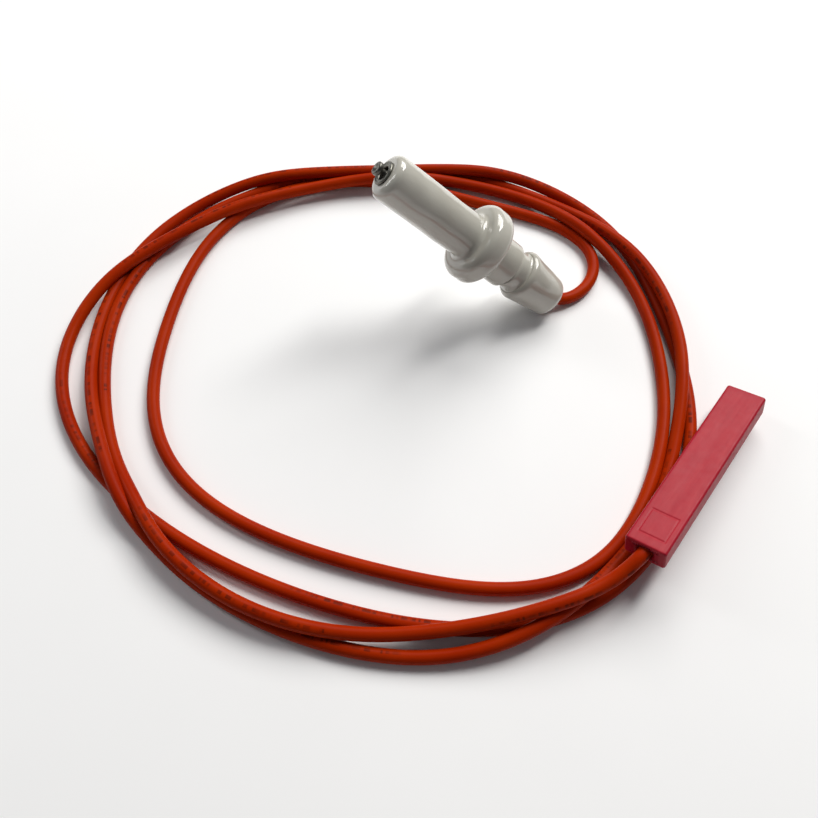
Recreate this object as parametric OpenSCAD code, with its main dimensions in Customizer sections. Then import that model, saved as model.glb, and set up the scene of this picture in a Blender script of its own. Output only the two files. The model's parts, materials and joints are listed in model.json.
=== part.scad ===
// Ignition electrode: a glazed ceramic body with a steel spark pin, a silicone lead and an insulated
// receptacle.
// The ceramic stands tilted on its rear rim, with its axis in the XZ plane. The lead lies on the plane z = 0.

/* [Ceramic body] */
// Diameter of the front cylinder
front_d = 8; // [7:0.1:9]
// Diameter of the flange
flange_d = 14; // [12:0.1:16]
// Thickness of the flange
flange_t = 4.4; // [3:0.1:5]
// Diameter of the collar behind the flange
collar_d = 8.4; // [8:0.1:9]
// Diameter at the bottom of the clip groove
groove_d = 7.2; // [6.4:0.1:7.4]
// Widest diameter of the rear bulb
bulb_d = 9.3; // [8.6:0.1:9.6]
// Diameter of the rear end face's edge
rear_d = 7.6; // [7.2:0.1:8]
// Length of the whole ceramic
body_l = 40.6; // [38:0.1:44]
// Distance from the rear end to the flange's seat face
seat_at = 21.4; // [20.6:0.1:22]
// Distance from the rear end to the back of the collar
collar_at = 12; // [11.5:0.1:12.5]
// Distance from the rear end to the back of the groove
groove_at = 9.9; // [9.5:0.1:10.3]
// Tilt of the body above the table, in degrees
body_tilt = 42; // [40:0.5:44]

/* [Spark pin] */
// Diameter of the pin's shank
pin_d = 1.2; // [1:0.05:1.5]
// Diameter of the pin's domed head
head_d = 2.4; // [2:0.05:2.6]
// Height of the pin's head above the ceramic's front face
head_at = 1.1; // [0.9:0.1:1.6]
// Outside diameter of the eyelet round the pin
eyelet_d = 4.3; // [4:0.1:4.6]

/* [Lead] */
// Diameter over the silicone sleeve
lead_d = 2.2; // [2.1:0.05:2.2]
// Diameter of one copper strand
strand_d = 0.26; // [0.2:0.01:0.28]

/* [Receptacle housing] */
// Length of the housing
housing_l = 36.5; // [34:0.1:38]
// Width of the housing
housing_w = 6.6; // [6.4:0.1:7]
// Height of the housing
housing_h = 3.8; // [3.6:0.1:4.2]
// Width of the tab that the receptacle takes
tab_w = 2.8; // [2.4:0.1:2.8]
// Thickness of the tab that the receptacle takes
tab_t = 0.8; // [0.5:0.1:0.8]

/* [Hidden] */
$fn = 64;

// How far a cut runs past the face that it opens, and how far joined shapes run into each other.
past = 1;
weld = 0.2;

// Places and small sizes of the ceramic, along its axis from the rear end.
rear_x = 15.2;
edge_r = 1.6;
rear_z = edge_r * (1 - sin(body_tilt)) + (rear_d / 2 - edge_r) * cos(body_tilt);
rear_pos = [rear_x, 0, rear_z];
front_edge_r = 1.3;
rim_r = 1.5;
fillet_r = 0.9;
collar_edge_r = 0.4;
lip_r = 1;
lip_foot_r = 0.6;
lip_turn = acos(1 - (bulb_d - groove_d) / 2 / (lip_r + lip_foot_r));
bulb_at = groove_at - (lip_r + lip_foot_r) * sin(lip_turn);
flange_back = seat_at - flange_t;
pin_bore_d = 1.9;
rear_bore_d = 4;
rear_bore_l = 13;
pocket_d = 3;
pocket_l = 1.4;

// The pin, its ferrule and the eyelet.
pin_start = 9;
head_t = 0.8;
head_edge_r = 0.3;
dimple_r = 0.5;
ferrule_d = 2.2;
ferrule_l = 6;
ferrule_at = 5;
eyelet_t = 0.3;
eyelet_h = 0.5;
eyelet_tail = 1.1;

// The lead's inner parts.
sleeve_bore_d = 1.1;
sleeve_start = 3.6;
sealant_at = 0.6;
sealant_l = 12;
strand_ring_r = 0.3;
strand_count = 6;
bare_tip = 0.4;

// The housing's pose: the middle of its cable end, then turns about Z, Y and X.
housing_pos = [30.3, -49.8, 7];
housing_yaw = 59.7;
housing_pitch = 5.6;
housing_roll = -14;
housing_edge_r = 0.45;
cable_bore_d = 2.6;
cable_bore_l = 15;
cavity_w = 4.4;
cavity_h = 2.9;
mouth_play = 0.8;
mouth_w = tab_w + mouth_play;
mouth_h = tab_t + mouth_play;
mouth_l = 2;
mark_w = 4.6;
mark_l = 5;
mark_line = 0.25;
mark_deep = 0.08;
mark_at = 1.8;

// The receptacle terminal, along the housing from the cable end.
crimp_wall = 0.3;
sleeve_crimp_at = 15.6;
sleeve_crimp_l = 3;
wire_crimp_at = 19.4;
wire_crimp_l = 4;
wire_crimp_d = 1.5;
box_at = 25;
box_l = 7;
box_w = 3.7;
box_h = 1.7;
neck_w = 1.4;
link_w = 1.2;
roll_gap = 0.5;
lance_at = 2;
lance_l = 2.4;
lance_tilt = 8;
lance_t = 0.15;

// The lead's centre line, from the ceramic to the housing. It makes four loose turns on the table.
start_run = [[12.5, 0, 4.6], [15, 0, 2.35], [16.5, 0.2, 1.35], [18.5, 1, 1.1]];
turn_1 = [[20.5, 3, 1.1], [22.5, 5.5, 1.1], [23, 9.5, 1.1], [22, 14, 1.1], [18.5, 17.5, 1.1],
          [12, 20, 1.1], [-3, 23.5, 1.1], [-18.5, 26.5, 1.1], [-33.5, 24, 1.1], [-46, 15.5, 1.1],
          [-52.5, 1, 1.1], [-53.5, -14.5, 1.1], [-52, -30, 1.1], [-44, -43, 1.1], [-30.5, -50.5, 1.1],
          [0, -56, 1.1], [15.5, -55, 1.1], [28, -46.5, 1.1], [34, -32, 1.1], [35.5, -16.5, 1.1],
          [33, -1.5, 1.1], [28, 10, 2], [21, 16, 3.3]];
turn_2 = [[12, 23.5, 1.5], [0, 27, 2.4], [-28.5, 23.5, 3.1], [-43, 17, 3.3], [-55, 7.5, 3.3],
          [-65, -4, 3], [-70.5, -18, 1.1], [-66.5, -33, 1.1], [-56.5, -44.5, 1.1], [-43, -53, 1.1],
          [-13.5, -62, 1.1], [17, -60, 1.1], [30, -51, 1.1], [37, -37.5, 1.1], [40, -22, 1.1],
          [37.5, -7, 1.1], [32.5, 8, 1.1]];
turn_3 = [[24.5, 20.5, 1.1], [12, 28.5, 1.6], [-4, 29.5, 3.1], [-21, 27.5, 3.1], [-36, 24.5, 3],
          [-50, 19.5, 1.5], [-60.5, 8.5, 1.1], [-65.5, -6, 1.1], [-65, -21.5, 1.1], [-51, -48.5, 2.5],
          [-39.5, -59, 1.1], [-25.5, -65, 1.1], [-10, -68, 1.1], [13.5, -63, 3], [19.5, -58.5, 3.3],
          [26, -51.5, 1.5], [33, -40, 1.1], [37, -26, 1.1], [38.5, -14, 3], [37, -2.5, 3.3],
          [32, 9.5, 3.3]];
last_run = [[22.5, 19.5, 3], [8, 27, 1.1], [-8.5, 30.5, 1.1], [-24, 28.5, 1.1], [-39.5, 23.5, 1.1],
            [-52.5, 13.5, 1.1], [-61, 2, 1.1], [-64, -13, 1.1], [-61, -28.5, 1.1], [-45, -54, 3.3],
            [-17, -66, 3], [-2, -64.5, 2], [13, -60.5, 5], [22, -56.5, 6.2]];
sleeve_end = 18.4;
tube_sides = 8;

// A point inside the housing, at a distance from its cable end along its middle.
function on_housing(s) = housing_pos + s * [cos(housing_yaw) * cos(housing_pitch),
                                            sin(housing_yaw) * cos(housing_pitch), -sin(housing_pitch)];
route = concat(start_run, turn_1, turn_2, turn_3, last_run, [housing_pos, on_housing(sleeve_end)]);

// Puts a part drawn along +Z from the rear end into the tilted ceramic.
module in_body() {
    translate(rear_pos) rotate([0, body_tilt - 90, 0]) children();
}

// Puts a part drawn along +X from the cable end into the housing.
module in_housing() {
    translate(housing_pos)
        rotate([0, 0, housing_yaw]) rotate([0, housing_pitch, 0]) rotate([housing_roll, 0, 0])
            children();
}

// The points of a quarter circle, turned from one angle to another about its centre.
function arc(centre, radius, from, to, steps = 8) =
    [for (i = [0:steps]) let (a = from + (to - from) * i / steps) centre + radius * [cos(a), sin(a)]];

// Half of the ceramic's outline, from the rear centre to the front centre, as radius and distance.
bulb_slope = atan((bulb_d - rear_d) / 2 / bulb_at);
ceramic_outline = concat(
    [[0, 0]],
    arc([rear_d / 2 - edge_r, edge_r], edge_r, -90, -bulb_slope),
    arc([bulb_d / 2 - lip_r, bulb_at], lip_r, -bulb_slope, lip_turn),
    arc([groove_d / 2 + lip_foot_r, groove_at], lip_foot_r, 180 + lip_turn, 180),
    [[groove_d / 2, collar_at]],
    arc([collar_d / 2 - collar_edge_r, collar_at + collar_edge_r], collar_edge_r, -90, 0),
    arc([collar_d / 2 + collar_edge_r, flange_back - collar_edge_r], collar_edge_r, 180, 90),
    arc([flange_d / 2 - rim_r, flange_back + rim_r], rim_r, -90, 0),
    arc([flange_d / 2 - rim_r, seat_at - rim_r], rim_r, 0, 90),
    arc([front_d / 2 + fillet_r, seat_at + fillet_r], fillet_r, 270, 180),
    arc([front_d / 2 - front_edge_r, body_l - front_edge_r], front_edge_r, 0, 90),
    [[0, body_l]]);

module ceramic_body() {
    color("white")
        in_body() difference() {
            rotate_extrude() polygon(ceramic_outline);
            translate([0, 0, -past]) cylinder(h = rear_bore_l + past, d = rear_bore_d);
            translate([0, 0, rear_bore_l - past]) cylinder(h = body_l, d = pin_bore_d);
            translate([0, 0, body_l - pocket_l]) cylinder(h = pocket_l + past, d = pocket_d);
        }
}

module spark_pin() {
    color("dimgray")
        in_body() difference() {
            union() {
                translate([0, 0, pin_start]) cylinder(h = body_l + head_at - pin_start, d = pin_d);
                translate([0, 0, body_l + head_at]) rotate_extrude() polygon(concat(
                    [[0, 0]],
                    arc([head_d / 2 - head_edge_r, head_edge_r], head_edge_r, -90, 0),
                    arc([head_d / 2 - head_edge_r, head_t - head_edge_r], head_edge_r, 0, 90),
                    [[0, head_t]]));
            }
            translate([0, 0, body_l + head_at + head_t + dimple_r / 2]) sphere(dimple_r);
        }
}

// The eyelet's flange sits on the ceramic's face and its tail goes down into the pocket.
module front_eyelet() {
    outer = eyelet_d / 2;
    inner = pocket_d / 2 - eyelet_t;
    color("silver")
        in_body() translate([0, 0, body_l]) rotate_extrude() polygon(concat(
            [[inner, -eyelet_tail], [pocket_d / 2, -eyelet_tail], [pocket_d / 2, 0]],
            arc([outer - eyelet_h / 2, eyelet_h / 2], eyelet_h / 2, -90, 90),
            arc([inner + eyelet_h, 0], eyelet_h, 90, 180)));
}

module front_cement() {
    color("gainsboro")
        in_body() translate([0, 0, body_l - pocket_l]) difference() {
            cylinder(h = pocket_l - eyelet_tail, d = pocket_d);
            translate([0, 0, -past]) cylinder(h = pocket_l + past, d = pin_d);
        }
}

// A brass tube that joins the pin's end to the copper strands.
module pin_ferrule() {
    color("goldenrod")
        in_body() translate([0, 0, ferrule_at]) difference() {
            cylinder(h = ferrule_l, d = ferrule_d);
            translate([0, 0, -past]) cylinder(h = ferrule_l + 2 * past, d = pin_d);
        }
}

// A bundle of copper strands round a middle one.
module strand_bundle(length) {
    cylinder(h = length, d = strand_d);
    for (i = [0:strand_count - 1])
        rotate([0, 0, i * 360 / strand_count])
            translate([strand_ring_r, 0, 0]) cylinder(h = length, d = strand_d);
}

module pin_strands() {
    color("peru")
        in_body() translate([0, 0, sleeve_start]) strand_bundle(pin_start - sleeve_start);
}

// Silicone compound that fills the rear bore round the sleeve's end and the ferrule.
module rear_sealant() {
    color("lightgray")
        in_body() difference() {
            translate([0, 0, sealant_at]) cylinder(h = sealant_l, d = rear_bore_d);
            translate([0, 0, -past]) cylinder(h = sleeve_start + past, d = lead_d);
            cylinder(h = ferrule_at + weld, d = sleeve_bore_d);
            translate([0, 0, ferrule_at]) cylinder(h = ferrule_l, d = ferrule_d);
            translate([0, 0, ferrule_at]) cylinder(h = rear_bore_l, d = pin_d);
        }
}

// One ring of the swept tube, square to the line between the ring's neighbours.
function tangent(points, i) =
    let (a = points[max(i - 1, 0)], b = points[min(i + 1, len(points) - 1)]) (b - a) / norm(b - a);
function side(t) = let (s = cross(t, [0, 0, 1])) s / norm(s);
function ring(p, t) =
    let (s = side(t), u = cross(s, t))
    [for (k = [0:tube_sides - 1]) let (a = 360 * k / tube_sides) p + lead_d / 2 * (cos(a) * s + sin(a) * u)];

module tube(points) {
    last = len(points) - 1;
    polyhedron(
        points = [for (i = [0:last]) each ring(points[i], tangent(points, i))],
        faces = concat(
            [[for (k = [0:tube_sides - 1]) k]],
            [for (i = [0:last - 1], k = [0:tube_sides - 1])
                let (a = i * tube_sides + k, b = i * tube_sides + (k + 1) % tube_sides)
                [b, a, a + tube_sides, b + tube_sides]],
            [[for (k = [0:tube_sides - 1]) last * tube_sides + tube_sides - 1 - k]]));
}

module lead_sleeve() {
    color("orangered") tube(route);
}

// Draws a bar along +X with rounded long edges, centred on the X axis.
module rounded_bar(l, w, h, r) {
    union() {
        translate([0, -w / 2, -h / 2 + r]) cube([l, w, h - 2 * r]);
        translate([0, -w / 2 + r, -h / 2]) cube([l, w - 2 * r, h]);
        for (y = [-w / 2 + r, w / 2 - r], z = [-h / 2 + r, h / 2 - r])
            translate([0, y, z]) rotate([0, 90, 0]) cylinder(h = l, r = r, $fn = 32);
    }
}

// An empty moulded frame on the top face, where a maker would put a mark.
module mark_frame() {
    translate([mark_at, -mark_w / 2, housing_h / 2 - mark_deep]) difference() {
        cube([mark_l, mark_w, past]);
        translate([mark_line, mark_line, -past])
            cube([mark_l - 2 * mark_line, mark_w - 2 * mark_line, 3 * past]);
    }
}

module receptacle_housing() {
    cavity_end = housing_l - mouth_l;
    color("crimson")
        in_housing() difference() {
            rounded_bar(housing_l, housing_w, housing_h, housing_edge_r);
            translate([-past, 0, 0]) rotate([0, 90, 0])
                cylinder(h = cable_bore_l + 2 * past, d = cable_bore_d);
            translate([cable_bore_l, -cavity_w / 2, -cavity_h / 2])
                cube([cavity_end - cable_bore_l, cavity_w, cavity_h]);
            translate([cavity_end - past, -mouth_w / 2, -mouth_h / 2])
                cube([mouth_l + 2 * past, mouth_w, mouth_h]);
            mark_frame();
        }
}

// The stamped receptacle: a spring box with two sides rolled over the tab, a crimp on the bare strands,
// a crimp on the sleeve, and a sprung tongue that holds it in the housing.
module receptacle_terminal() {
    sleeve_crimp_d = lead_d + 2 * crimp_wall;
    sleeve_crimp_end = sleeve_crimp_at + sleeve_crimp_l;
    link_h = (sleeve_crimp_d - wire_crimp_d) / 2 + weld;
    color("khaki") in_housing() union() {
        spring_box();
        crimp_barrel(wire_crimp_at, wire_crimp_l, wire_crimp_d);
        crimp_barrel(sleeve_crimp_at, sleeve_crimp_l, sleeve_crimp_d);
        translate([sleeve_crimp_end - weld, -link_w / 2, -sleeve_crimp_d / 2 + weld / 4])
            cube([wire_crimp_at - sleeve_crimp_end + 2 * weld, link_w, link_h]);
        translate([box_at + lance_at, 0, box_h / 2 - weld / 4]) rotate([0, -lance_tilt, 0])
            translate([0, -neck_w / 2, 0]) cube([lance_l, neck_w, lance_t]);
    }
}

// The box's floor and its two rolled sides, with a gap between them on top, and the neck to the wire crimp.
module spring_box() {
    wire_crimp_end = wire_crimp_at + wire_crimp_l;
    flat_w = box_w - box_h;
    difference() {
        union() {
            translate([box_at, -flat_w / 2, -box_h / 2]) cube([box_l, flat_w, crimp_wall]);
            for (side = [-1, 1])
                translate([box_at, side * flat_w / 2, 0]) rotate([0, 90, 0]) cylinder(h = box_l, d = box_h);
            for (y = [-flat_w / 2, roll_gap / 2])
                translate([box_at, y, box_h / 2 - crimp_wall])
                    cube([box_l, (flat_w - roll_gap) / 2, crimp_wall]);
        }
        translate([box_at - past, -box_w / 2 + crimp_wall, -box_h / 2 + crimp_wall])
            cube([box_l + 2 * past, box_w - 2 * crimp_wall, box_h - 2 * crimp_wall]);
    }
    translate([wire_crimp_end - weld, -neck_w / 2, -box_h / 2])
        cube([box_at - wire_crimp_end + 2 * weld, neck_w, crimp_wall]);
}

// A crimp barrel, closed round what it holds.
module crimp_barrel(from, length, outer_d) {
    translate([from, 0, 0]) rotate([0, 90, 0]) difference() {
        cylinder(h = length, d = outer_d);
        translate([0, 0, -past]) cylinder(h = length + 2 * past, d = outer_d - 2 * crimp_wall);
    }
}

module terminal_strands() {
    color("peru")
        in_housing() translate([sleeve_end, 0, 0]) rotate([0, 90, 0])
            strand_bundle(wire_crimp_at + wire_crimp_l + bare_tip - sleeve_end);
}

ceramic_body();
spark_pin();
front_eyelet();
front_cement();
pin_ferrule();
pin_strands();
rear_sealant();
lead_sleeve();
receptacle_housing();
receptacle_terminal();
terminal_strands();
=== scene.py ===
"""The looks of an ignition electrode: a glazed ceramic with a steel pin, a silicone lead and a red housing."""

import json
import math

import bpy
import numpy as np
from mathutils import Matrix, Vector


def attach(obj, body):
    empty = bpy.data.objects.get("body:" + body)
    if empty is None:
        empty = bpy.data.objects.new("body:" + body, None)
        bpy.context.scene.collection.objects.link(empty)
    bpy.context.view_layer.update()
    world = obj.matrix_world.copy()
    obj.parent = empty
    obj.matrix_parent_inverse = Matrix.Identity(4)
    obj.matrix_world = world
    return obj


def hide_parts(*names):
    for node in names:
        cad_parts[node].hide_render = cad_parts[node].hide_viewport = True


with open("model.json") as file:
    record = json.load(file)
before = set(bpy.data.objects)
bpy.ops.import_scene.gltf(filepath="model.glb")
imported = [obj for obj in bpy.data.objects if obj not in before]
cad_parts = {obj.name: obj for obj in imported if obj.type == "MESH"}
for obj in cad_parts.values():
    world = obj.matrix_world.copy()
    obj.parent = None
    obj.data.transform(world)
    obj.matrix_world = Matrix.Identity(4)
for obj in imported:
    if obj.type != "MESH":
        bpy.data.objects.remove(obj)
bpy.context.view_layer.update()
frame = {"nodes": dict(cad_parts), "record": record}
nodes = frame["nodes"]
MM = 0.001


# ---------------------------------------------------------------- places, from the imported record

def mount(name):
    """A mount's place and axis, from the record."""
    found = next(m for m in frame["record"]["mounts"] if m["name"] == name)
    return Vector(found["pos_m"]), Vector(found["axis"]).normalized()


spigot_middle, BODY_AXIS = mount("burner_spigot")
SPIGOT_AT = 30.8 * MM  # from the ceramic's rear end, as in part.scad
BODY_REAR = spigot_middle - BODY_AXIS * SPIGOT_AT
BODY_SIDE = Vector((0, 1, 0))
BODY_FRAME = Matrix.Translation(BODY_REAR) @ Matrix(
    (BODY_SIDE, BODY_AXIS.cross(BODY_SIDE), BODY_AXIS)).transposed().to_4x4()

HOUSING_L = 36.5 * MM
HOUSING_YAW, HOUSING_PITCH, HOUSING_ROLL = (math.radians(a) for a in (59.7, 5.6, -14))
mouth_middle, HOUSING_AXIS = mount("tab_entry")
HOUSING_POS = mouth_middle - HOUSING_AXIS * HOUSING_L
HOUSING_FRAME = (Matrix.Translation(HOUSING_POS) @ Matrix.Rotation(HOUSING_YAW, 4, "Z")
                 @ Matrix.Rotation(HOUSING_PITCH, 4, "Y") @ Matrix.Rotation(HOUSING_ROLL, 4, "X"))


# ---------------------------------------------------------------- camera, floor and lights

FRAME_PX = 818
FOCAL_PX = 850
SENSOR_MM = 36
CAMERA_AT = Vector((1.12, -99.47, 126.7)) * MM
CAMERA_LOOKS = Vector((-0.0619, 0.5038, -0.8616))
CLIP_START = 0.005

camera_data = bpy.data.cameras.new("camera")
camera_data.sensor_width = SENSOR_MM
camera_data.lens = SENSOR_MM * FOCAL_PX / FRAME_PX
camera_data.clip_start = CLIP_START
camera = bpy.data.objects.new("camera", camera_data)
bpy.context.scene.collection.objects.link(camera)
camera.location = CAMERA_AT
camera.rotation_mode = "QUATERNION"
camera.rotation_quaternion = CAMERA_LOOKS.to_track_quat("-Z", "Y")
bpy.context.scene.camera = camera

scene = bpy.context.scene
scene.view_settings.view_transform = "Standard"


def area_light(name, at, towards, size, watts, tint):
    """A rectangular light at a place in metres, turned towards another."""
    data = bpy.data.lights.new(name, "AREA")
    data.shape = "RECTANGLE"
    data.size, data.size_y = size
    data.energy = watts
    data.color = tint
    lamp = bpy.data.objects.new(name, data)
    scene.collection.objects.link(lamp)
    lamp.location = at
    lamp.rotation_mode = "QUATERNION"
    lamp.rotation_quaternion = (Vector(towards) - Vector(at)).to_track_quat("-Z", "Y")


COIL_MIDDLE = (0, -0.02, 0)
area_light("key", (0.22, 0.85, 0.85), COIL_MIDDLE, (1.0, 0.7), 14, (1.0, 0.985, 0.96))
area_light("glint", (0.20, 0.20, 0.36), (0, 0, 0), (0.08, 0.24), 0.9, (1.0, 0.99, 0.97))
area_light("side", (-0.36, 0.10, 0.22), COIL_MIDDLE, (0.06, 0.26), 0.35, (0.97, 0.985, 1.0))

ROOM_TINT = (0.93, 0.95, 1.0, 1)
ROOM_STRENGTH = 0.13
world = bpy.data.worlds.new("studio")
scene.world = world
world.use_nodes = True
background = world.node_tree.nodes["Background"]
background.inputs["Color"].default_value = ROOM_TINT
background.inputs["Strength"].default_value = ROOM_STRENGTH


# ---------------------------------------------------------------- materials

NOISE_ROUGHNESS = 0.55


class Nodes:
    """A material whose nodes are added one by one to its Principled shader."""

    def __init__(self, name, color, roughness, **sockets):
        self.material = bpy.data.materials.new(name)
        self.material.use_nodes = True
        self.tree = self.material.node_tree
        self.shader = self.tree.nodes["Principled BSDF"]
        self.shader.inputs["Base Color"].default_value = (*color, 1)
        self.shader.inputs["Roughness"].default_value = roughness
        for socket, value in sockets.items():
            self.shader.inputs[socket.replace("_", " ")].default_value = value
        self.coordinates = self.add("ShaderNodeTexCoord").outputs["Object"]

    def add(self, kind, **settings):
        node = self.tree.nodes.new(kind)
        for key, value in settings.items():
            setattr(node, key, value)
        return node

    def link(self, a, b):
        self.tree.links.new(a, b)

    def mapped(self, stretch, source=None):
        """Coordinates stretched along each axis."""
        node = self.add("ShaderNodeMapping")
        node.inputs["Scale"].default_value = stretch
        self.link(source or self.coordinates, node.inputs["Vector"])
        return node.outputs["Vector"]

    def noise(self, size, detail=4, vector=None):
        """Noise with features of about that size in metres."""
        node = self.add("ShaderNodeTexNoise")
        node.inputs["Scale"].default_value = 1 / size
        node.inputs["Detail"].default_value = detail
        node.inputs["Roughness"].default_value = NOISE_ROUGHNESS
        self.link(vector or self.coordinates, node.inputs["Vector"])
        return node.outputs["Fac"]

    def ramp(self, source, *stops):
        """A colour or grey ramp: each stop is a place and a value."""
        node = self.add("ShaderNodeValToRGB")
        elements = node.color_ramp.elements
        while len(elements) < len(stops):
            elements.new(0.5)
        for element, (place, value) in zip(elements, stops):
            element.position = place
            element.color = (*value, 1) if isinstance(value, tuple) else (value, value, value, 1)
        self.link(source, node.inputs["Fac"])
        return node.outputs["Color"]

    def math(self, operation, a, b=None):
        node = self.add("ShaderNodeMath", operation=operation)
        for socket, value in zip(node.inputs, (a, b)):
            if isinstance(value, (int, float)):
                socket.default_value = value
            elif value is not None:
                self.link(value, socket)
        return node.outputs["Value"]

    def mix(self, factor, a, b):
        node = self.add("ShaderNodeMix", data_type="RGBA", blend_type="MIX")
        for name, value in (("Factor", factor), ("A", a), ("B", b)):
            socket = node.inputs[name]
            if isinstance(value, (int, float)):
                socket.default_value = value
            elif isinstance(value, tuple):
                socket.default_value = (*value, 1)
            else:
                self.link(value, socket)
        return node.outputs["Result"]

    def attribute(self, name):
        return self.add("ShaderNodeAttribute", attribute_name=name).outputs["Fac"]

    def color(self, source):
        self.link(source, self.shader.inputs["Base Color"])

    def roughness(self, source, low, high):
        node = self.add("ShaderNodeMapRange")
        node.inputs["To Min"].default_value = low
        node.inputs["To Max"].default_value = high
        self.link(source, node.inputs["Value"])
        self.link(node.outputs["Result"], self.shader.inputs["Roughness"])

    def bump(self, source, height, strength=1.0):
        """Bump of that height in metres, laid over any bump already there."""
        node = self.add("ShaderNodeBump")
        node.inputs["Strength"].default_value = strength
        node.inputs["Distance"].default_value = height
        self.link(source, node.inputs["Height"])
        before = self.shader.inputs["Normal"].links
        if before:
            self.link(before[0].from_socket, node.inputs["Normal"])
        self.link(node.outputs["Normal"], self.shader.inputs["Normal"])


def ceramic_material():
    """Off-white glaze, with faint clouds and a few brown specks."""
    m = Nodes("glazed_ceramic", (0.60, 0.585, 0.55), 0.16, Coat_Weight=0.7, Coat_Roughness=0.04,
              Subsurface_Weight=0.05, Subsurface_Radius=(0.6, 0.5, 0.4), Subsurface_Scale=0.001)
    cloud = m.ramp(m.noise(9 * MM), (0.3, (0.44, 0.422, 0.365)), (0.7, (0.51, 0.497, 0.440)))
    specks = m.ramp(m.noise(0.5 * MM, detail=2), (0.74, 0.0), (0.80, 1.0))
    m.color(m.mix(m.math("MULTIPLY", specks, 0.5), cloud, (0.45, 0.36, 0.28)))
    m.roughness(m.noise(2.5 * MM), 0.10, 0.24)
    m.bump(m.noise(1.6 * MM, detail=3), 0.03 * MM, 0.5)
    return m.material


def steel_material(name, tint, scale_tint):
    """Dull steel with patches of scale and turned or pressed marks along the axis."""
    m = Nodes(name, tint, 0.32, Metallic=1.0)
    m.color(m.ramp(m.noise(0.5 * MM), (0.35, tint), (0.7, scale_tint)))
    m.roughness(m.noise(0.25 * MM), 0.22, 0.5)
    m.bump(m.noise(0.12 * MM, vector=m.mapped((1, 1, 6))), 0.008 * MM, 0.6)
    return m.material


def plain_material(name, low, high, roughness, grain, height, **sockets):
    """A surface with two tones and a grain of that size in metres."""
    m = Nodes(name, low, roughness, **sockets)
    m.color(m.ramp(m.noise(grain * 3), (0.35, low), (0.65, high)))
    m.roughness(m.noise(grain * 2), max(roughness - 0.12, 0.05), min(roughness + 0.12, 1))
    m.bump(m.noise(grain), height, 0.7)
    return m.material


PRINT_REPEAT = 61 * MM
PRINT_SHARE = 0.6
PRINT_HALF_ANGLE = 0.26


def silicone_material():
    """Orange-red silicone with dust, and plain broken dashes where the real lead is printed."""
    m = Nodes("silicone_sleeve", (0.44, 0.030, 0.002), 0.38, Specular_IOR_Level=0.04,
              Subsurface_Weight=0.05, Subsurface_Radius=(1.0, 0.25, 0.08), Subsurface_Scale=0.0006)
    along = m.attribute("along")
    around = m.attribute("around")
    tone = m.ramp(m.noise(14 * MM), (0.3, (0.30, 0.014, 0.0003)), (0.7, (0.38, 0.026, 0.0005)))
    dust = m.ramp(m.noise(0.35 * MM, detail=3), (0.62, 0.0), (0.80, 1.0))
    base = m.mix(m.math("MULTIPLY", dust, 0.14), tone, (0.46, 0.09, 0.03))
    place = m.add("ShaderNodeCombineXYZ")
    m.link(along, place.inputs["X"])
    step = m.ramp(m.noise(1.5 * MM, detail=1, vector=place.outputs["Vector"]), (0.49, 0.0), (0.52, 1.0))
    group = m.math("FRACT", m.math("DIVIDE", along, PRINT_REPEAT))
    dash = m.math("MULTIPLY", step, m.math("LESS_THAN", group, PRINT_SHARE))
    stripe = m.math("LESS_THAN", m.math("ABSOLUTE", around), PRINT_HALF_ANGLE)
    worn = m.ramp(m.noise(3 * MM, detail=1), (0.38, 0.30), (0.62, 0.75))
    ink = m.math("MULTIPLY", m.math("MULTIPLY", dash, stripe), worn)
    m.color(m.mix(ink, base, (0.085, 0.008, 0.003)))
    m.roughness(m.noise(4 * MM), 0.30, 0.44)
    m.bump(m.noise(0.16 * MM, detail=2), 0.012 * MM, 0.5)
    m.bump(m.noise(3 * MM), 0.06 * MM, 0.35)
    return m.material


def nylon_material():
    """Red nylon, with a pale streaky painted sheen on its top face that fades to its long edges, so the sides
    stay darker as painted shade.
    """
    m = Nodes("red_nylon", (0.50, 0.030, 0.050), 0.42, Specular_IOR_Level=0.18,
              Subsurface_Weight=0.10, Subsurface_Radius=(1.0, 0.2, 0.2), Subsurface_Scale=0.0005)
    place = m.add("ShaderNodeCombineXYZ")
    m.link(m.attribute("along"), place.inputs["X"])
    m.link(m.attribute("across"), place.inputs["Y"])
    streaks = m.noise(0.9 * MM, detail=5, vector=m.mapped((0.12, 1, 1), source=place.outputs["Vector"]))
    tone = m.ramp(m.noise(7 * MM), (0.3, (0.31, 0.002, 0.014)), (0.7, (0.37, 0.005, 0.021)))
    # The pale colour mixed in here is a painted sheen, lightest on the top face and streaked like moulded
    # nylon.
    painted_sheen = m.math("MULTIPLY", m.attribute("painted_sheen"), m.ramp(streaks, (0.34, 0.35), (0.66, 1.0)))
    m.color(m.mix(m.math("MULTIPLY", painted_sheen, 0.75), tone, (0.42, 0.022, 0.034)))
    m.roughness(m.noise(1.2 * MM), 0.34, 0.54)
    m.bump(m.noise(0.22 * MM, detail=3), 0.012 * MM, 0.6)
    m.bump(streaks, 0.03 * MM, 0.5)
    m.bump(m.noise(5 * MM), 0.08 * MM, 0.4)
    return m.material


def floor_material():
    m = Nodes("floor", (0.88, 0.88, 0.88), 0.7, Specular_IOR_Level=0.2)
    m.color(m.ramp(m.noise(0.05), (0.3, 0.90), (0.7, 0.92)))
    return m.material


# ---------------------------------------------------------------- mesh helpers

def add_mesh(name, points, faces, material, attributes=()):
    """A smooth-shaded mesh, linked to the scene. attributes are names with a value for each point."""
    mesh = bpy.data.meshes.new(name)
    mesh.from_pydata([tuple(p) for p in points], [], faces)
    mesh.validate()
    mesh.shade_smooth()
    for key, values in attributes:
        mesh.attributes.new(key, "FLOAT", "POINT").data.foreach_set("value", np.asarray(values, np.float32))
    mesh.materials.append(material)
    made = bpy.data.objects.new(name, mesh)
    scene.collection.objects.link(made)
    return made


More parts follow.
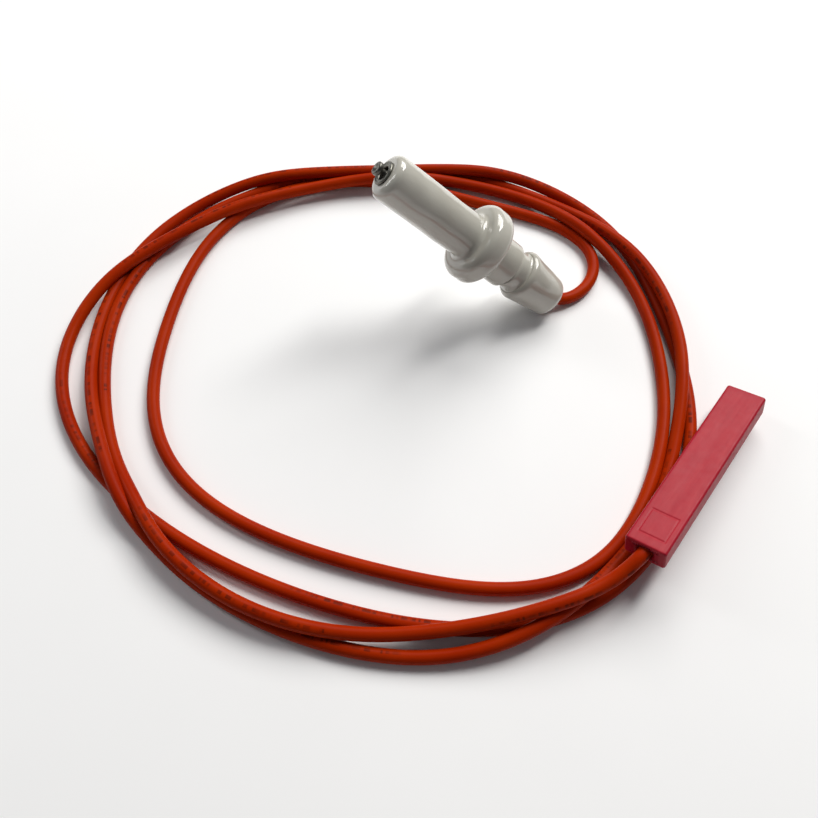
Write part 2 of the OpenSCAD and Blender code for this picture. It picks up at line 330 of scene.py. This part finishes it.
def skin(rings, closed_rows):
    """Quads between rings of the same count. With closed_rows the last ring joins the first."""
    rows, count = len(rings), len(rings[0])
    faces = []
    for i in range(rows if closed_rows else rows - 1):
        for k in range(count):
            a, b = i * count, (i + 1) % rows * count
            faces.append((a + k, a + (k + 1) % count, b + (k + 1) % count, b + k))
    return faces


def arc(centre, radius, start, end, steps=10):
    """Points of a circle's arc, with angles in degrees."""
    angles = (math.radians(start + (end - start) * i / steps) for i in range(steps + 1))
    return [(centre[0] + radius * math.cos(a), centre[1] + radius * math.sin(a)) for a in angles]


def divided(outline, step, closed=False):
    """The outline with its long edges divided into steps."""
    made = []
    ends = outline[1:] + outline[:1] if closed else outline[1:]
    for a, b in zip(outline, ends):
        count = max(1, math.ceil(math.dist(a, b) / step))
        made += [(a[0] + (b[0] - a[0]) * i / count, a[1] + (b[1] - a[1]) * i / count) for i in range(count)]
    return made if closed else made + [outline[-1]]


def revolve(name, outline, segments, place, material, ripple=None):
    """Turns an outline of (radius, distance) in mm about a frame's Z axis. Radius 0 makes a shared pole."""
    points, starts = [], []
    for radius, distance in outline:
        pole = radius < 1e-6
        starts.append((len(points), pole))
        for k in range(1 if pole else segments):
            a = 2 * math.pi * k / segments
            r = radius + (ripple(a, distance, radius) if ripple and not pole else 0)
            points.append(place @ (Vector((r * math.cos(a), r * math.sin(a), distance)) * MM))
    faces = []
    closed = not starts[0][1]
    pairs = list(zip(starts, starts[1:] + starts[:1] if closed else starts[1:]))
    for (a, pole_a), (b, pole_b) in pairs:
        for k in range(segments):
            n = (k + 1) % segments
            if pole_a:
                faces.append((a, b + n, b + k))
            elif pole_b:
                faces.append((a + k, a + n, b))
            else:
                faces.append((a + k, a + n, b + n, b + k))
    return add_mesh(name, points, faces, material)


# ---------------------------------------------------------------- the lead

LEAD_D = 2.2 * MM
START_RUN = [(12.5, 0, 4.6), (15, 0, 2.35), (16.5, 0.2, 1.35), (18.5, 1, 1.1)]
TURN_1 = [(20.5, 3, 1.1), (22.5, 5.5, 1.1), (23, 9.5, 1.1), (22, 14, 1.1), (18.5, 17.5, 1.1),
          (12, 20, 1.1), (-3, 23.5, 1.1), (-18.5, 26.5, 1.1), (-33.5, 24, 1.1), (-46, 15.5, 1.1),
          (-52.5, 1, 1.1), (-53.5, -14.5, 1.1), (-52, -30, 1.1), (-44, -43, 1.1), (-30.5, -50.5, 1.1),
          (0, -56, 1.1), (15.5, -55, 1.1), (28, -46.5, 1.1), (34, -32, 1.1), (35.5, -16.5, 1.1),
          (33, -1.5, 1.1), (28, 10, 2), (21, 16, 3.3)]
TURN_2 = [(12, 23.5, 1.5), (0, 27, 2.4), (-28.5, 23.5, 3.1), (-43, 17, 3.3), (-55, 7.5, 3.3),
          (-65, -4, 3), (-70.5, -18, 1.1), (-66.5, -33, 1.1), (-56.5, -44.5, 1.1), (-43, -53, 1.1),
          (-13.5, -62, 1.1), (17, -60, 1.1), (30, -51, 1.1), (37, -37.5, 1.1), (40, -22, 1.1),
          (37.5, -7, 1.1), (32.5, 8, 1.1)]
TURN_3 = [(24.5, 20.5, 1.1), (12, 28.5, 1.6), (-4, 29.5, 3.1), (-21, 27.5, 3.1), (-36, 24.5, 3),
          (-50, 19.5, 1.5), (-60.5, 8.5, 1.1), (-65.5, -6, 1.1), (-65, -21.5, 1.1), (-51, -48.5, 2.5),
          (-39.5, -59, 1.1), (-25.5, -65, 1.1), (-10, -68, 1.1), (13.5, -63, 3), (19.5, -58.5, 3.3),
          (26, -51.5, 1.5), (33, -40, 1.1), (37, -26, 1.1), (38.5, -14, 3), (37, -2.5, 3.3),
          (32, 9.5, 3.3)]
LAST_RUN = [(22.5, 19.5, 3), (8, 27, 1.1), (-8.5, 30.5, 1.1), (-24, 28.5, 1.1), (-39.5, 23.5, 1.1),
            (-52.5, 13.5, 1.1), (-61, 2, 1.1), (-64, -13, 1.1), (-61, -28.5, 1.1), (-45, -54, 3.3),
            (-17, -66, 3), (-2, -64.5, 2), (13, -60.5, 5), (22, -56.5, 6.2)]
SLEEVE_END = 18.4 * MM
LEAD_SIDES = 24
RING_STEP = 1 * MM

# How the lead is laid down: the size of its steps, the lengths held at its two ends, the wavelengths below
# which its route and its bends are smoothed, and the strength of each push.
LAY_STEP = 1.5 * MM
LAY_ROUNDS = 700
HELD_START, HELD_START_WEIGHT = 32 * MM, 30.0
HELD_END, HELD_END_WEIGHT = 24 * MM, 200.0
ROUTE_WAVE = 35 * MM
BEND_WAVE = 14 * MM
NEIGHBOURS = 8
REACH = LEAD_D * 1.01
PUSH = 0.45
ANCHOR = 0.12
SINK = 0.006 * MM
FIXED_START, FIXED_END = 4, 14


def lead_route():
    """The points that the lead follows, which are the same as in part.scad."""
    free = [Vector(p) * MM for p in START_RUN + TURN_1 + TURN_2 + TURN_3 + LAST_RUN]
    inside = [HOUSING_POS + HOUSING_AXIS * s for s in (0, SLEEVE_END / 2, SLEEVE_END)]
    return np.array(free + inside, float)


def even_steps(line, step):
    """The line's points moved to even steps along it."""
    at = np.concatenate(([0], np.cumsum(np.linalg.norm(np.diff(line, axis=0), axis=1))))
    places = np.linspace(0, at[-1], int(round(at[-1] / step)) + 1)
    return np.stack([np.interp(places, at, line[:, k]) for k in range(3)], axis=1)


def smooth_line(points, step):
    """A natural cubic spline through the points, at even steps."""
    at = np.concatenate(([0], np.cumsum(np.linalg.norm(np.diff(points, axis=0), axis=1))))
    gap, last = np.diff(at), len(points) - 1
    system, right = np.eye(last + 1), np.zeros_like(points)
    for i in range(1, last):
        system[i, i - 1:i + 2] = gap[i - 1], 2 * (gap[i - 1] + gap[i]), gap[i]
        right[i] = 6 * ((points[i + 1] - points[i]) / gap[i] - (points[i] - points[i - 1]) / gap[i - 1])
    second = np.linalg.solve(system, right)
    place = np.arange(0, at[-1], step / 10)
    k = np.clip(np.searchsorted(at, place, side="right") - 1, 0, last - 1)
    a, b = ((at[k + 1] - place) / gap[k])[:, None], ((place - at[k]) / gap[k])[:, None]
    bend = ((a**3 - a) * second[k] + (b**3 - b) * second[k + 1]) * (gap[k] ** 2 / 6)[:, None]
    return even_steps(a * points[k] + b * points[k + 1] + bend, step)


def smoother(count, wave, weights):
    """A matrix that takes bends shorter than a wavelength out of a line. Points with large weights stay."""
    stiffness = (wave / (2 * math.pi * LAY_STEP)) ** 4
    bend = np.zeros((count - 2, count))
    row = np.arange(count - 2)
    bend[row, row], bend[row, row + 1], bend[row, row + 2] = 1, -2, 1
    return np.linalg.inv(np.diag(weights) + stiffness * bend.T @ bend) * weights


def lay_down(line):
    """Lets the lead settle: its strands push each other apart, sink under their weight and stay stiff."""
    count = len(line)
    place = np.arange(count) * LAY_STEP
    weights = np.where(place < HELD_START, HELD_START_WEIGHT,
                       np.where(place > place[-1] - HELD_END, HELD_END_WEIGHT, 1.0))
    held = smoother(count, ROUTE_WAVE, weights) @ line
    stiffen = smoother(count, BEND_WAVE, weights)
    first, second = np.triu_indices(count, NEIGHBOURS)
    q = held.copy()
    for i in range(LAY_ROUNDS):
        if i % 10 == 0:
            near = np.linalg.norm(q[first] - q[second], axis=1) < REACH * 2
            a, b = first[near], second[near]
        gap = q[a] - q[b]
        length = np.linalg.norm(gap, axis=1)
        touch = length < REACH
        push = ((REACH - length[touch]) / np.maximum(length[touch], 1e-6) * PUSH)[:, None] * gap[touch]
        force, shares = np.zeros_like(q), np.zeros(count)
        for side, sign in ((a[touch], 1), (b[touch], -1)):
            np.add.at(force, side, sign * push)
            np.add.at(shares, side, 1)
        q += force / np.maximum(shares, 1)[:, None] ** 0.5
        q[:, :2] += ANCHOR * (held[:, :2] - q[:, :2])
        q[:, 2] -= SINK
        q = stiffen @ q
        q[:, 2] = np.maximum(q[:, 2], LEAD_D / 2)
        q[:FIXED_START], q[-FIXED_END:] = held[:FIXED_START], held[-FIXED_END:]
    return q


def sweep(line):
    """Rings of the lead round a line, carried along without twist."""
    tangents = np.gradient(line, axis=0)
    tangents /= np.linalg.norm(tangents, axis=1)[:, None]
    side = Vector(tangents[0]).cross(Vector((0, 0, 1))).normalized()
    rings = []
    for i, (p, t) in enumerate(zip(line, tangents)):
        t = Vector(t)
        if i:
            side = Vector(tangents[i - 1]).rotation_difference(t) @ side
        side = (side - t * side.dot(t)).normalized()
        up = side.cross(t)
        angles = (2 * math.pi * k / LEAD_SIDES for k in range(LEAD_SIDES))
        rings.append([Vector(p) + LEAD_D / 2 * (math.cos(a) * side + math.sin(a) * up) for a in angles])
    return rings


def make_lead():
    """The lead's mesh and its line. The print wanders slowly round the lead, as its twist would carry it."""
    line = smooth_line(lay_down(smooth_line(lead_route(), LAY_STEP)), RING_STEP)
    rings = sweep(line)
    faces = [tuple(reversed(f)) for f in skin(rings, False)]
    last = (len(rings) - 1) * LEAD_SIDES
    faces += [tuple(range(LEAD_SIDES)), tuple(last + k for k in reversed(range(LEAD_SIDES)))]
    along = np.repeat(np.arange(len(rings)) * RING_STEP, LEAD_SIDES)
    drift = 0.9 * np.sin(along / 0.093) + 1.3 * np.sin(along / 0.211 + 1)
    angle = np.tile(2 * np.pi * np.arange(LEAD_SIDES) / LEAD_SIDES, len(rings)) - np.pi / 2 + 0.35
    around = (angle + drift + np.pi) % (2 * np.pi) - np.pi
    made = add_mesh("lead", [p for ring in rings for p in ring], faces, silicone_material(),
                    (("along", along), ("around", around)))
    return made, line


# ---------------------------------------------------------------- the ceramic and its metal parts

# Sizes of the ceramic in mm, with distances from its rear end, as in part.scad.
FRONT_R = 4
FLANGE_R = 7
COLLAR_R = 4.2
GROOVE_R = 3.6
BULB_R, BULB_AT = 4.65, 8.4
REAR_R, REAR_EDGE = 3.8, 1.6
REAR_BORE_R, REAR_BORE_L = 2, 13
PIN_BORE_R = 0.95
POCKET_R, POCKET_L = 1.5, 1.4
GROOVE_AT, COLLAR_AT = 9.9, 12
GROOVE_EDGE = 0.3
FLANGE_BACK, SEAT_AT = 17, 21.4
FRONT_FACE = 40.6
FRONT_EDGE = 1.3
RIM_EDGE = 1.5
FILLET = 0.9
COLLAR_EDGE = 0.4
LIP_R, LIP_FOOT_R, LIP_TURN = 1, 0.6, 69.9
BORE_CHAMFER = 0.25
POCKET_EDGE = 0.2


def ceramic_outline():
    """Radius and distance from the rear end, in mm: round the outside, then back through the bore."""
    slope = math.degrees(math.atan((BULB_R - REAR_R) / BULB_AT))
    outside = (arc((REAR_BORE_R + BORE_CHAMFER, BORE_CHAMFER), BORE_CHAMFER, 180, 270, 4)
               + arc((REAR_R - REAR_EDGE, REAR_EDGE), REAR_EDGE, -90, -slope)
               + arc((BULB_R - LIP_R, BULB_AT), LIP_R, -slope, LIP_TURN)
               + arc((GROOVE_R + LIP_FOOT_R, GROOVE_AT), LIP_FOOT_R, 180 + LIP_TURN, 180)
               + [(GROOVE_R, COLLAR_AT - GROOVE_EDGE)]
               + arc((GROOVE_R + GROOVE_EDGE, COLLAR_AT - GROOVE_EDGE), GROOVE_EDGE, 180, 90, 5)
               + arc((COLLAR_R - COLLAR_EDGE, COLLAR_AT + COLLAR_EDGE), COLLAR_EDGE, -90, 0)
               + arc((COLLAR_R + COLLAR_EDGE, FLANGE_BACK - COLLAR_EDGE), COLLAR_EDGE, 180, 90)
               + arc((FLANGE_R - RIM_EDGE, FLANGE_BACK + RIM_EDGE), RIM_EDGE, -90, 0)
               + arc((FLANGE_R - RIM_EDGE, SEAT_AT - RIM_EDGE), RIM_EDGE, 0, 90)
               + arc((FRONT_R + FILLET, SEAT_AT + FILLET), FILLET, 270, 180)
               + arc((FRONT_R - FRONT_EDGE, FRONT_FACE - FRONT_EDGE), FRONT_EDGE, 0, 90)
               + arc((POCKET_R + POCKET_EDGE, FRONT_FACE - POCKET_EDGE), POCKET_EDGE, 90, 180, 4))
    inside = [(POCKET_R, FRONT_FACE - POCKET_L), (PIN_BORE_R, FRONT_FACE - POCKET_L),
              (PIN_BORE_R, REAR_BORE_L), (REAR_BORE_R, REAR_BORE_L)]
    return divided(outside + inside, 0.6, closed=True)


def glaze_ripple(angle, distance, radius):
    """The glaze's thickness wanders a little over the outside."""
    if radius < 3:
        return 0
    return (0.022 * math.sin(3 * angle + 0.5 * distance) + 0.016 * math.sin(0.9 * distance + angle)
            + 0.010 * math.sin(5 * angle - 1.3 * distance))


def make_ceramic():
    return revolve("ceramic_insulator", ceramic_outline(), 128, BODY_FRAME, ceramic_material(), glaze_ripple)


PIN_START = 9
HEAD_AT = 1.1


def make_pin():
    """The pin: its inner end, a small collar at the face, the neck, and the flat head with its dimple."""
    head = FRONT_FACE + HEAD_AT
    outline = ([(0, PIN_START)] + arc((0.5, PIN_START + 0.1), 0.1, -90, 0, 3)
               + [(0.6, FRONT_FACE - 0.6), (0.74, FRONT_FACE - 0.45), (0.74, FRONT_FACE - 0.05),
                  (0.6, FRONT_FACE + 0.1)]
               + [(0.56, head - 0.12), (0.62, head)]
               + arc((0.96, head + 0.22), 0.22, -90, 0, 5)
               + arc((0.92, head + 0.54), 0.25, 0, 90, 6)
               + [(0.72, head + 0.78), (0.58, head + 0.66), (0.30, head + 0.55), (0, head + 0.52)])
    return revolve("spark_pin_turned", divided(outline, 0.3), 64, BODY_FRAME,
                   steel_material("pin_steel", (0.11, 0.107, 0.095), (0.22, 0.215, 0.19)))


def make_eyelet():
    """A pressed cup: its rolled flange lies on the ceramic and its tail goes down round the pin."""
    outline = ([(1.2, FRONT_FACE - 1.1), (1.5, FRONT_FACE - 1.1), (1.5, FRONT_FACE)]
               + arc((1.91, FRONT_FACE + 0.24), 0.24, -90, 90, 8)
               + [(1.78, FRONT_FACE + 0.42), (1.68, FRONT_FACE + 0.34), (1.56, FRONT_FACE + 0.36)]
               + arc((1.42, FRONT_FACE + 0.14), 0.22, 80, 180, 6))
    return revolve("eyelet_pressed", divided(outline, 0.3, closed=True), 72, BODY_FRAME,
                   steel_material("eyelet_steel", (0.13, 0.127, 0.11), (0.24, 0.235, 0.205)))


# ---------------------------------------------------------------- the housing

# Sizes of the housing in mm. Its frame has X from the cable end to the open end, and Z up.
SHELL_HALF_W, SHELL_HALF_H, SHELL_L = 3.3, 1.9, 36.5
CORNER_R = 0.45
END_EDGE = 0.3
BOX_CORNER_R = 0.15
LEAD_BORE_R = 1.3
BORE_RIM_R, BORE_MOUTH_R = 1.36, 1.6
CAVITY, CAVITY_AT = (2.2, 1.45), 15
LIP, LIP_L = (1.8, 0.8), 2
MOUTH = (2.0, 1.0)
FACE_INSET = 0.7
SINK_DEPTH, WAVE_DEPTH = 0.07, 0.012
FRAME_AT, FRAME_HALF_L, FRAME_HALF_W, FRAME_LINE, FRAME_DEPTH = 4.3, 2.5, 2.3, 0.3, 0.07
SECTION_CELLS = (14, 52)
QUARTER_TURN = (0, 15, 30, 45, 60, 75, 90)
FINE_RINGS = [0.6 + 0.1 * i for i in range(75)]
WIDE_RINGS = [8.4 + 0.45 * i for i in range(62)]


def rounded_section(half_w, half_h, radius):
    """Points of a rounded rectangle, counter-clockwise from the foot of its top right corner."""
    made = []
    for corner, (cx, cy) in enumerate(((1, 1), (-1, 1), (-1, -1), (1, -1))):
        centre = (cx * (half_w - radius), cy * (half_h - radius))
        made += arc(centre, radius, 90 * corner, 90 * corner + 90, 6)
        count = SECTION_CELLS[1] if corner % 2 == 0 else SECTION_CELLS[0]
        nx, ny = ((-1, 1), (-1, -1), (1, -1), (1, 1))[corner]
        end = arc((nx * (half_w - radius), ny * (half_h - radius)), radius,
                  90 * corner + 90, 90 * corner + 90, 1)[0]
        begin = made[-1]
        made += [(begin[0] + (end[0] - begin[0]) * i / count, begin[1] + (end[1] - begin[1]) * i / count)
                 for i in range(1, count)]
    return made


def shell_rows(angles):
    """Distance along the housing and section of each ring: out of the lead's bore, along, into the cavity."""
    def circle(radius):
        return [(radius * math.cos(a), radius * math.sin(a)) for a in angles]

    def outer(inset):
        return rounded_section(SHELL_HALF_W - inset, SHELL_HALF_H - inset,
                               max(CORNER_R - inset / 2, BOX_CORNER_R))

    def box(half_sizes):
        return rounded_section(*half_sizes, BOX_CORNER_R)

    def rise(degrees):
        return END_EDGE * math.sin(math.radians(degrees))

    def drawn_in(degrees):
        return END_EDGE - END_EDGE * math.cos(math.radians(degrees))

    lip_at = SHELL_L - LIP_L
    return ([(0.35, circle(LEAD_BORE_R)), (0.12, circle(BORE_RIM_R)), (0, circle(BORE_MOUTH_R)),
             (0, outer(END_EDGE + FACE_INSET))]
            + [(END_EDGE - rise(90 - a), outer(drawn_in(90 - a))) for a in QUARTER_TURN]
            + [(x, outer(0)) for x in FINE_RINGS + WIDE_RINGS]
            + [(SHELL_L - END_EDGE + rise(a), outer(drawn_in(a))) for a in QUARTER_TURN]
            + [(SHELL_L, outer(END_EDGE + FACE_INSET)), (SHELL_L, box(MOUTH)),
               (SHELL_L - 0.2, box(LIP)), (lip_at, box(LIP)), (lip_at, box(CAVITY)),
               (CAVITY_AT, box(CAVITY)), (CAVITY_AT, circle(LEAD_BORE_R))])


def make_housing():
    """The moulded shell. Its point attributes carry the place along and across, and how strong the painted
    sheen is there.
    """
    angles = [math.atan2(z / SHELL_HALF_H, y / SHELL_HALF_W)
              for y, z in rounded_section(SHELL_HALF_W, SHELL_HALF_H, CORNER_R)]
    rows = shell_rows(angles)
    points = [shaped(x, y, z) for x, section in rows for y, z in section]
    made = [HOUSING_FRAME @ (Vector(p) * MM) for p in points]
    along = [x * MM for x, y, z in points]
    across = [(y + z) * MM for x, y, z in points]
    # How much painted sheen each point gets.
    painted_sheen = [painted_sheen_share(*p) for p in points]
    count = len(angles)
    rings = [made[i * count:(i + 1) * count] for i in range(len(rows))]
    return add_mesh("housing_shell", made, skin(rings, True), nylon_material(),
                    (("along", along), ("across", across), ("painted_sheen", painted_sheen)))


def painted_sheen_share(x, y, z):
    """The painted sheen: full on the top face, fading to its edges, and a little everywhere else."""
    if z <= SHELL_HALF_H - 0.4:
        return 0.25
    from_side = (SHELL_HALF_W - 0.15 - abs(y)) / 0.7
    from_end = (SHELL_L - 0.2 - x) / 1.5
    return min(1, max(0, from_side)) * min(1, max(0, from_end))


def shaped(x, y, z):
    """A point of the housing, with the sink band, the waves of moulded nylon and the frame near the cable."""
    if z > SHELL_HALF_H - 0.02 and abs(y) < SHELL_HALF_W - 0.4:
        ends = min(1, max(0, (x - 4) / 6)) * min(1, max(0, (SHELL_L - 3 - x) / 6))
        z -= SINK_DEPTH * ends * math.exp(-((y + 0.2) / 1.1) ** 2)
        z += WAVE_DEPTH * math.sin(0.7 * x) * math.cos(0.8 * y)
        if -FRAME_LINE < max(abs(x - FRAME_AT) - FRAME_HALF_L, abs(y) - FRAME_HALF_W) < 0:
            z -= FRAME_DEPTH
    return x, y, z


# ---------------------------------------------------------------- assembly

lead, lead_line = make_lead()
ceramic = make_ceramic()
pin = make_pin()
eyelet = make_eyelet()
housing = make_housing()

for piece, node, slot in ((lead, "lead_sleeve", "silicone_sleeve"), (ceramic, "ceramic_body", "glazed_ceramic"),
                          (pin, "spark_pin", "pin_steel"), (eyelet, "front_eyelet", "eyelet_steel"),
                          (housing, "receptacle_housing", "red_nylon")):
    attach(piece, "root")
    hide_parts(node)

CARRIED = {
    "front_cement": plain_material("cement", (0.30, 0.28, 0.25), (0.42, 0.40, 0.37), 0.85, 0.15 * MM,
                                   0.03 * MM),
    "pin_ferrule": plain_material("brass", (0.60, 0.43, 0.17), (0.72, 0.55, 0.25), 0.3, 0.2 * MM, 0.01 * MM,
                                  Metallic=1),
    "pin_strands": plain_material("copper_strand", (0.70, 0.34, 0.20), (0.80, 0.45, 0.28), 0.28, 0.1 * MM,
                                  0.005 * MM, Metallic=1),
    "rear_sealant": plain_material("sealant", (0.55, 0.50, 0.44), (0.66, 0.62, 0.56), 0.55, 0.3 * MM,
                                   0.05 * MM),
    "receptacle_terminal": plain_material("tinned_brass", (0.55, 0.52, 0.44), (0.68, 0.66, 0.58), 0.3, 0.3 * MM,
                                          0.01 * MM, Metallic=1),
}
CARRIED["terminal_strands"] = CARRIED["pin_strands"]
for node, material in CARRIED.items():
    data = nodes[node].data
    data.materials.clear()
    data.materials.append(material)

floor = add_mesh("floor", [(-3, -3, 0), (3, -3, 0), (3, 3, 0), (-3, 3, 0)], [(0, 1, 2, 3)], floor_material())
